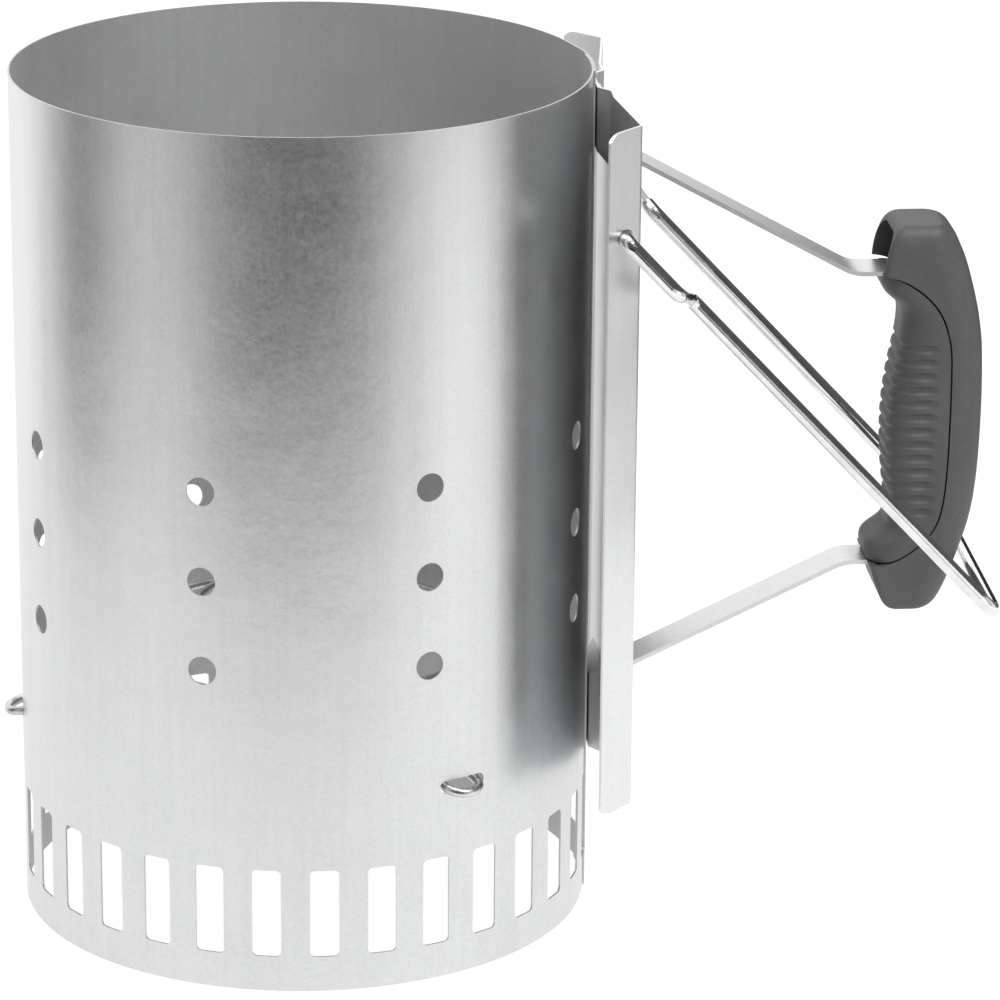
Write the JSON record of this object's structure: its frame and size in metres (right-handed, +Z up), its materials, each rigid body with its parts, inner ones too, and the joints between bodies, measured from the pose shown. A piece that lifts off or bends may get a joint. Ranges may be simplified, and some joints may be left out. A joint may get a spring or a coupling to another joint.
{
  "type": "chimney charcoal starter",
  "caption": "Open sheet metal tube on a wire cone grate for lighting charcoal, with a heat shield, a plastic grip on a strap and a swinging wire bail.",
  "frame": {"origin": "axis of the tube at the plane it stands on", "axes": "+Z up along the tube, +X towards the grip, Y across the grip along the bail's pivot line"},
  "size_m": [0.3294, 0.19, 0.285],
  "materials": {
    "tube_sheet": "satin aluminised sheet with a fine grain",
    "shield_sheet": "satin aluminised sheet",
    "strap_steel": "smooth plated strip",
    "grip_plastic": "fine matte moulded surface",
    "fastener_steel": "zinc plated",
    "bail_chrome": "polished plated wire",
    "grate_wire": "plated wire"
  },
  "bodies": {
    "starter": {"chimney_body": "tube_sheet", "heat_shield": "shield_sheet", "handle_strap": "strap_steel", "grip_front": "grip_plastic", "grip_back": "grip_plastic", "grip_screw_upper": "fastener_steel", "grip_screw_lower": "fastener_steel", "bolt_upper": "fastener_steel", "bolt_lower": "fastener_steel", "washer_upper": "fastener_steel", "washer_lower": "fastener_steel", "nut_upper": "fastener_steel", "nut_lower": "fastener_steel", "grate_leg_1": "grate_wire", "grate_leg_2": "grate_wire", "grate_leg_3": "grate_wire", "grate_ring_1": "grate_wire", "grate_ring_2": "grate_wire", "grate_ring_3": "grate_wire", "grate_ring_4": "grate_wire"},
    "bail": {"bail_handle": "bail_chrome"}
  },
  "joints": [
    {"name": "bail_swing", "type": "hinge", "parent": "starter", "child": "bail", "pos_m": [0.0992, 0, 0.2442], "axis": [0, -1, 0], "range_deg": [0, 115]}
  ]
}
